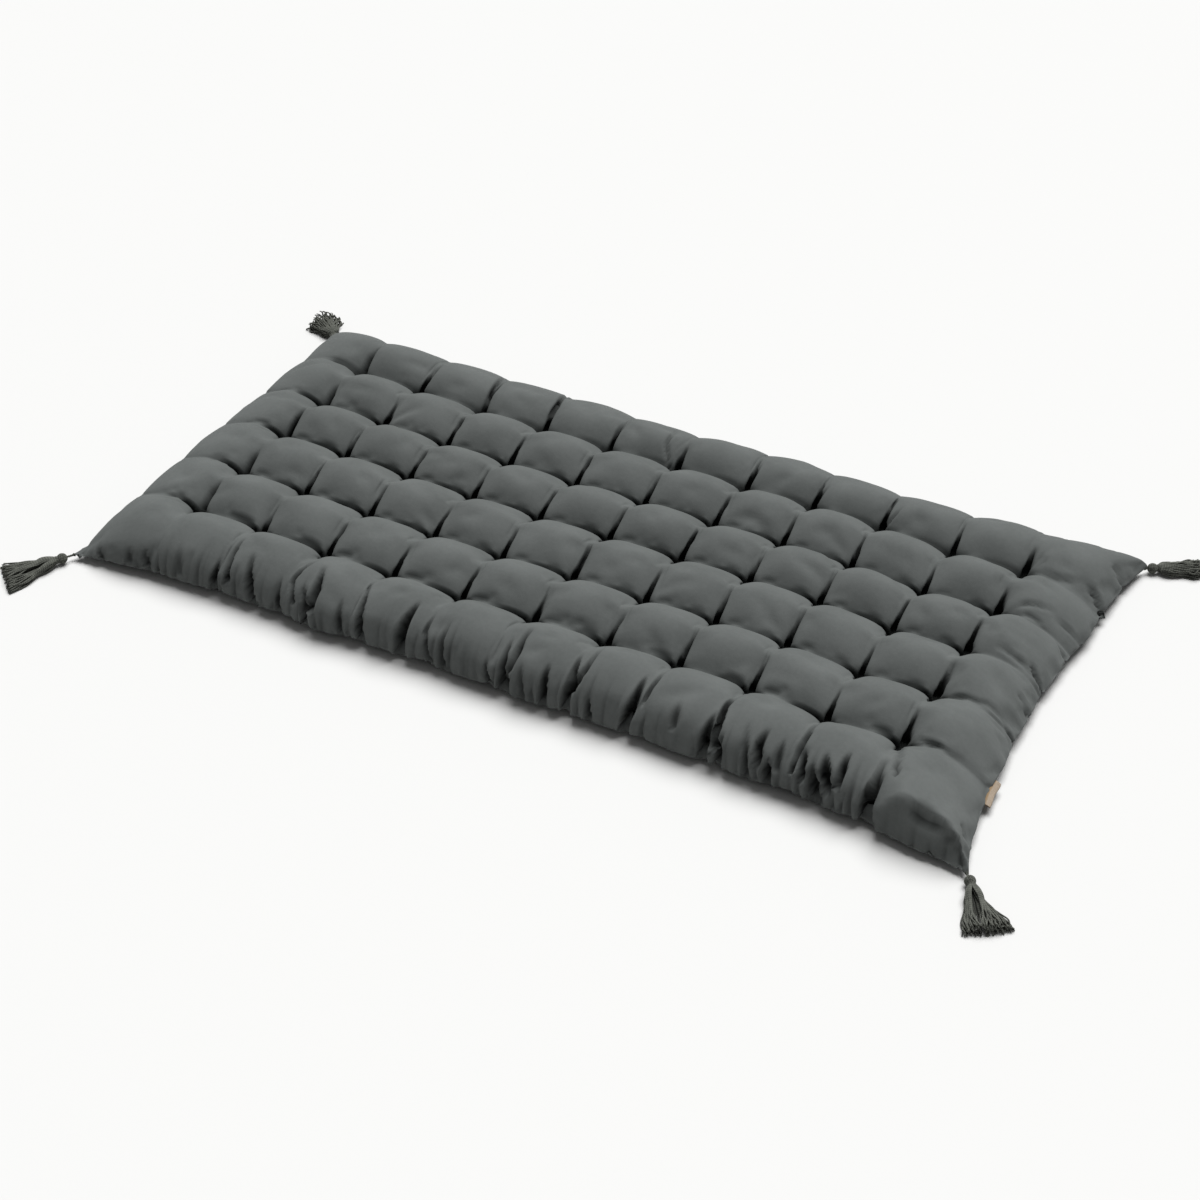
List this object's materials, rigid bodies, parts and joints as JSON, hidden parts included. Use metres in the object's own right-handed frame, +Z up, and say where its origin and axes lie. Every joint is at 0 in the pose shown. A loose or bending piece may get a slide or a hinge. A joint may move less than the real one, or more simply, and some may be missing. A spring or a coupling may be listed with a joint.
{
  "type": "tufted floor mattress",
  "caption": "Rectangular padded cloth floor mattress, tied through in a grid of tufts, with a yarn tassel at each corner and a bare folded tab in its side seam.",
  "frame": {"origin": "on the floor, under the centre of the bounding box, tassels included", "axes": "+X along the mattress's long sides, +Y across it towards the side away from the label's corner, +Z up"},
  "size_m": [1.3576, 0.803, 0.074],
  "materials": {
    "grey_cotton": "matte plain cotton",
    "grey_yarn": "matte twisted cotton yarn",
    "tan_tape": "matte woven tape"
  },
  "bodies": {
    "root": {"mattress": "grey_cotton", "tassel_front_left": "grey_yarn", "tassel_front_right": "grey_yarn", "tassel_back_right": "grey_yarn", "tassel_back_left": "grey_yarn", "band_front_left": "grey_yarn", "band_front_right": "grey_yarn", "band_back_right": "grey_yarn", "band_back_left": "grey_yarn", "label": "tan_tape"}
  },
  "joints": []
}
